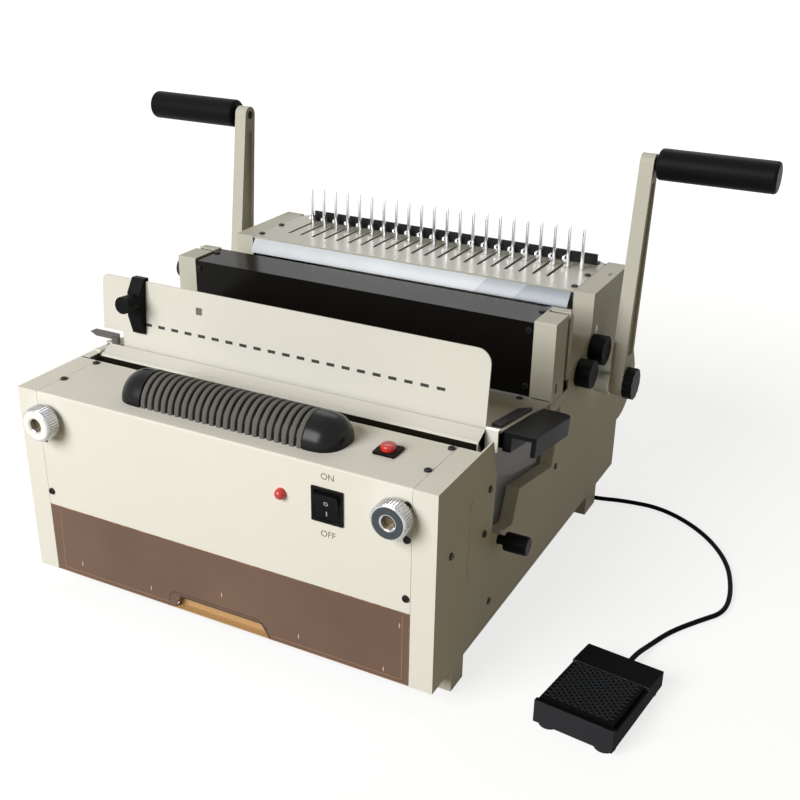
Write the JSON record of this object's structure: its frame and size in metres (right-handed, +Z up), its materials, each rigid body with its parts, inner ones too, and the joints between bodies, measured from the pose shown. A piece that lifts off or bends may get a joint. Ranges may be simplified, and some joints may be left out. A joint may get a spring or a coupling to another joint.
{
  "type": "comb binding machine",
  "caption": "Electric comb binding machine with a sliding punch die, upright paper rest, row of comb tines, side lever arms, chip drawer and foot pedal.",
  "frame": {"origin": "under the middle of the whole object's bounding box (pedal included, its cord left out), on the floor", "axes": "+X to the right seen from the front, along the arm shaft; +Y from the front to the back; +Z up"},
  "size_m": [0.692, 0.504, 0.3693],
  "materials": {
    "ivory_paint": "fine textured powder coat, satin",
    "inner_steel": "plain sheet steel",
    "black_gloss": "glossy black paint",
    "black_satin": "satin black paint",
    "screw_black": "blackened steel",
    "black_plastic": "moulded, fine texture",
    "handle_black": "glossy end caps",
    "rib_rubber": "matte rings",
    "smoked_plastic": "clear smoked brown, slightly scratched",
    "amber_plastic": "clear amber",
    "chrome_metal": "polished",
    "polished_steel": "polished bright",
    "die_steel": "ground grey steel",
    "red_plastic": "glossy red",
    "bronze": "machined",
    "board_green": "coated circuit board",
    "motor_grey": "grey enamel",
    "cord_rubber": "smooth jacket"
  },
  "bodies": {
    "chassis": {"base_tray": "inner_steel", "left_side_cover": "ivory_paint", "right_side_cover": "ivory_paint", "front_cover": "ivory_paint", "side_frames": "inner_steel", "screws": "screw_black", "carry_handle": "handle_black", "handle_ribs": "rib_rubber", "rocker_bezel": "black_plastic", "indicator_lamp": "red_plastic", "button_base": "black_plastic", "rear_cover": "ivory_paint", "power_inlet": "black_plastic", "control_board": "board_green", "deck_cover": "ivory_paint", "middle_cover": "ivory_paint", "throat_guide": "ivory_paint", "paper_rest": "ivory_paint", "slot_brackets": "polished_steel", "lock_bar": "black_satin", "die_bed": "die_steel", "gear_motor": "motor_grey", "shaft_bushes": "bronze", "punch_cover": "black_gloss", "punch_blocks": "ivory_paint", "comb_plate": "ivory_paint", "comb_front_strip": "polished_steel", "comb_tines": "polished_steel", "rear_guard": "black_satin", "comb_blocks": "ivory_paint", "pedal_base": "black_plastic", "pedal_feet": "rib_rubber", "cord_gland": "black_plastic", "pedal_cord": "cord_rubber"},
    "switch_rocker": {"rocker": "black_plastic"},
    "button": {"push_button": "red_plastic"},
    "left_knob": {"left_front_knob": "chrome_metal"},
    "right_knob": {"right_front_knob": "chrome_metal"},
    "drawer": {"waste_drawer": "smoked_plastic", "drawer_pull": "amber_plastic"},
    "die": {"die_block": "die_steel", "die_end_plate": "die_steel", "die_handle": "black_plastic"},
    "pins": {"punch_pins": "polished_steel"},
    "beam": {"punch_beam": "die_steel"},
    "cam_shaft": {"eccentric_shaft": "polished_steel", "drive_gear": "die_steel"},
    "pinion": {"motor_pinion": "die_steel"},
    "hooks": {"hook_carriage": "polished_steel"},
    "lower_size_knob": {"size_knob_lower": "black_plastic"},
    "upper_size_knob": {"size_knob_upper": "black_plastic"},
    "arms": {"arm_shaft": "polished_steel", "lever_arms": "ivory_paint", "arm_grips": "black_plastic", "hub_knobs": "black_plastic", "comb_pinions": "die_steel"},
    "lock": {"lock_pin": "black_plastic"},
    "margin": {"margin_guide": "black_plastic"},
    "margin_clamp": {"margin_knob": "black_plastic"},
    "tread": {"pedal_tread": "black_plastic"}
  },
  "joints": [
    {"name": "drawer_slide", "type": "slide", "parent": "chassis", "child": "drawer", "axis": [0, -1, 0], "range_m": [0, 0.15]},
    {"name": "die_slide", "type": "slide", "parent": "chassis", "child": "die", "axis": [1, 0, 0], "range_m": [0, 0.36]},
    {"name": "pin_stroke", "type": "slide", "parent": "die", "child": "pins", "axis": [0, -1, 0], "range_m": [0, 0.009]},
    {"name": "beam_stroke", "type": "slide", "parent": "chassis", "child": "beam", "axis": [0, -1, 0], "range_m": [0, 0.009]},
    {"name": "cam_turn", "type": "hinge", "parent": "chassis", "child": "cam_shaft", "pos_m": [-0.00587, 0.01155, 0.162], "axis": [1, 0, 0], "range_deg": [0, 180]},
    {"name": "pinion_turn", "type": "hinge", "parent": "chassis", "child": "pinion", "pos_m": [-0.00587, 0.0303, 0.12952], "axis": [1, 0, 0], "range_deg": [-320, 0]},
    {"name": "arm_swing", "type": "hinge", "parent": "chassis", "child": "arms", "pos_m": [-0.00587, 0.1189, 0.1525], "axis": [1, 0, 0], "range_deg": [0, 80]},
    {"name": "hook_slide", "type": "slide", "parent": "chassis", "child": "hooks", "axis": [0, -1, 0], "range_m": [0, 0.03211]},
    {"name": "left_knob_turn", "type": "hinge", "parent": "chassis", "child": "left_knob", "pos_m": [-0.16887, -0.235, 0.171], "axis": [0, 1, 0], "continuous": true},
    {"name": "right_knob_turn", "type": "hinge", "parent": "chassis", "child": "right_knob", "pos_m": [0.15713, -0.235, 0.171], "axis": [0, 1, 0], "continuous": true},
    {"name": "rocker_tip", "type": "hinge", "parent": "chassis", "child": "switch_rocker", "pos_m": [0.09863, -0.235, 0.161], "axis": [1, 0, 0], "range_deg": [-18, 0]},
    {"name": "button_press", "type": "slide", "parent": "chassis", "child": "button", "axis": [0, 0, -1], "range_m": [0, 0.0025], "stiffness_N_per_m": 400, "springref_m": -0.002},
    {"name": "lower_size_turn", "type": "hinge", "parent": "chassis", "child": "lower_size_knob", "pos_m": [-0.00587, 0.058, 0.1795], "axis": [1, 0, 0], "range_deg": [-150, 150]},
    {"name": "upper_size_turn", "type": "hinge", "parent": "chassis", "child": "upper_size_knob", "pos_m": [-0.00587, 0.092, 0.191], "axis": [1, 0, 0], "range_deg": [-150, 150]},
    {"name": "lock_pull", "type": "slide", "parent": "chassis", "child": "lock", "axis": [1, 0, 0], "range_m": [0, 0.008], "stiffness_N_per_m": 600, "springref_m": -0.004},
    {"name": "margin_slide", "type": "slide", "parent": "chassis", "child": "margin", "axis": [1, 0, 0], "range_m": [-0.007, 0.12]},
    {"name": "margin_clamp_turn", "type": "hinge", "parent": "margin", "child": "margin_clamp", "pos_m": [-0.15837, -0.12188, 0.2418], "axis": [0, 0.9954, -0.0958], "range_deg": [-180, 180]},
    {"name": "tread_press", "type": "hinge", "parent": "chassis", "child": "tread", "pos_m": [0.29909, -0.14809, 0.01597], "axis": [0.9938, -0.1115, 0], "range_deg": [0, 4], "stiffness_Nm_per_rad": 3, "springref_deg": -5.73}
  ],
  "couplings": [
    {"joint": "cam_turn", "follows": "beam_stroke", "rad_per_m": 349.06},
    {"joint": "pinion_turn", "follows": "beam_stroke", "rad_per_m": -620.56},
    {"joint": "pin_stroke", "follows": "beam_stroke", "ratio": 1},
    {"joint": "hook_slide", "follows": "arm_swing", "m_per_rad": 0.023}
  ]
}
